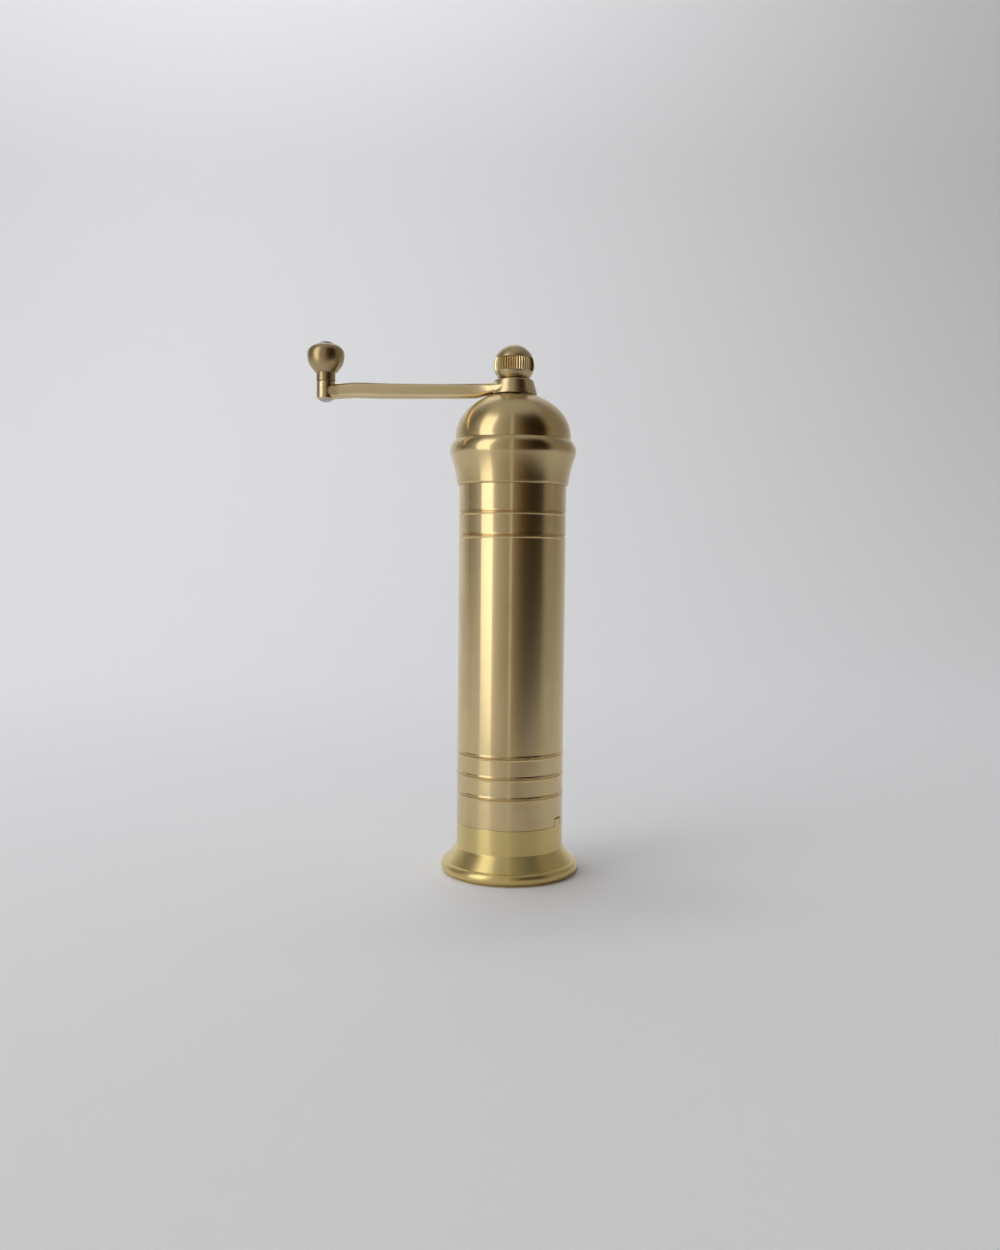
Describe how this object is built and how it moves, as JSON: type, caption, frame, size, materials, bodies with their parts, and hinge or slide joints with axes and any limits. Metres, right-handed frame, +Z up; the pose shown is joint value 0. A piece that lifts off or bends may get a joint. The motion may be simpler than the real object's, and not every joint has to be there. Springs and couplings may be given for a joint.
{
  "type": "crank pepper mill",
  "caption": "Hand-cranked pepper mill: a brass tube on a flared foot holds peppercorns and a spindle turns a conical burr in a ring burr; the domed lid lifts off to fill it.",
  "frame": {"origin": "centre of the foot's rim on the plane it stands on, on the mill's axis", "axes": "+Z up the mill's axis from the foot to the ball nut; the crank rests towards -X; -Y is the front, and the foot's key is at the front right"},
  "size_m": [0.1025, 0.0518, 0.1973],
  "materials": {
    "body_brass": "aged satin, turned",
    "foot_brass": "bright satin, turned",
    "lid_brass": "satin, spun",
    "crank_brass": "worn satin, cast and filed",
    "nut_brass": "satin, knurled",
    "inner_brass": "plain turned",
    "bush_bronze": "plain turned",
    "burr_steel": "hardened, dark",
    "plain_steel": "turned",
    "bright_steel": "polished"
  },
  "bodies": {
    "base": {"foot_base": "foot_brass", "barrel": "body_brass", "outer_burr": "burr_steel", "burr_screws": "plain_steel", "lower_bridge": "plain_steel", "bridge_screws": "plain_steel", "lock_nut": "inner_brass", "burr_spring": "bright_steel", "upper_bridge": "inner_brass", "upper_bush": "bush_bronze"},
    "lid": {"dome_cap": "lid_brass", "dome_bush": "inner_brass", "lid_ring": "inner_brass"},
    "thrust": {"thrust_ball": "bright_steel"},
    "adjuster": {"adjust_screw": "inner_brass"},
    "rotor": {"spindle": "plain_steel", "inner_burr": "burr_steel", "burr_pin": "bright_steel", "spring_seat": "inner_brass", "seat_pin": "bright_steel"},
    "crank": {"crank_arm": "crank_brass", "knob_rivet": "bright_steel"},
    "grip": {"knob": "crank_brass"},
    "nut_carrier": {"nut_washer": "inner_brass"},
    "nut": {"ball_nut": "nut_brass"}
  },
  "joints": [
    {"name": "lid_lift", "type": "slide", "parent": "base", "child": "lid", "axis": [0, 0, 1], "range_m": [0, 0.06]},
    {"name": "grind_set", "type": "slide", "parent": "base", "child": "thrust", "axis": [0, 0, 1], "range_m": [-0.0004, 0.0006], "deforming": ["burr_spring"]},
    {"name": "adjust_turn", "type": "hinge", "parent": "thrust", "child": "adjuster", "pos_m": [0, 0, 0.003], "axis": [0, 0, 1], "range_deg": [-185, 275]},
    {"name": "crank_turn", "type": "hinge", "parent": "thrust", "child": "rotor", "pos_m": [0, 0, 0.1], "axis": [0, 0, 1], "continuous": true},
    {"name": "crank_lift", "type": "slide", "parent": "rotor", "child": "crank", "axis": [0, 0, 1], "range_m": [0, 0.06]},
    {"name": "knob_spin", "type": "hinge", "parent": "crank", "child": "grip", "pos_m": [-0.0698, 0, 0.19], "axis": [0, 0, 1], "continuous": true},
    {"name": "nut_rise", "type": "slide", "parent": "crank", "child": "nut_carrier", "axis": [0, 0, 1], "range_m": [0, 0.0057]},
    {"name": "nut_turn", "type": "hinge", "parent": "nut_carrier", "child": "nut", "pos_m": [0, 0, 0.1893], "axis": [0, 0, 1], "range_deg": [0, 2880]}
  ],
  "couplings": [
    {"joint": "crank_lift", "follows": "lid_lift", "ratio": 1},
    {"joint": "adjust_turn", "follows": "grind_set", "rad_per_m": 7854},
    {"joint": "nut_rise", "follows": "nut_turn", "m_per_rad": 0.00011141}
  ]
}
